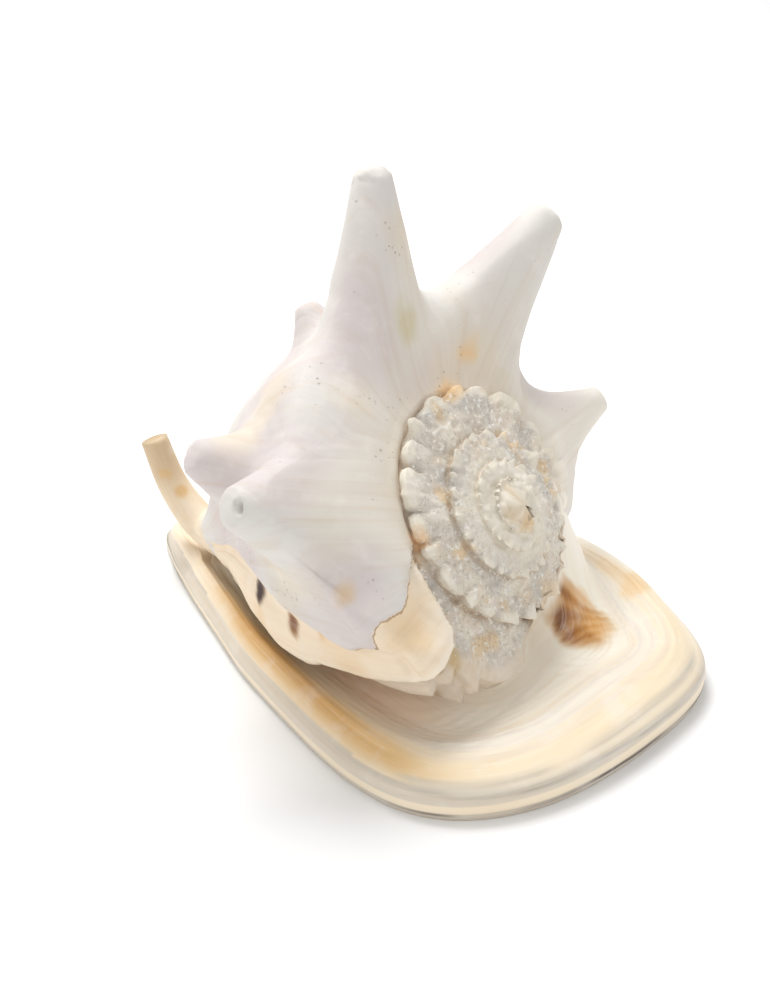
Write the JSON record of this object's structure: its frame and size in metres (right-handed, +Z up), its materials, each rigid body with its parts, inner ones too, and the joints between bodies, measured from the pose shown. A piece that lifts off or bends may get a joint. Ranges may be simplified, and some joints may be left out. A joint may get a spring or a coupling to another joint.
{
  "type": "helmet shell",
  "caption": "Horned helmet sea shell resting on its flat shield, with a low coiled spire, blunt horns, an old lip ridge, an upturned canal and a toothed slit underneath.",
  "frame": {"origin": "middle of the bounding box at the surface the shell rests on", "axes": "+Z up, +Y towards the siphonal canal, +X towards the outer lip"},
  "size_m": [0.1704, 0.2178, 0.1652],
  "materials": {
    "shell": "chalky white body, glossy cream shield"
  },
  "bodies": {
    "root": {"helmet_shell": "shell"}
  },
  "joints": []
}
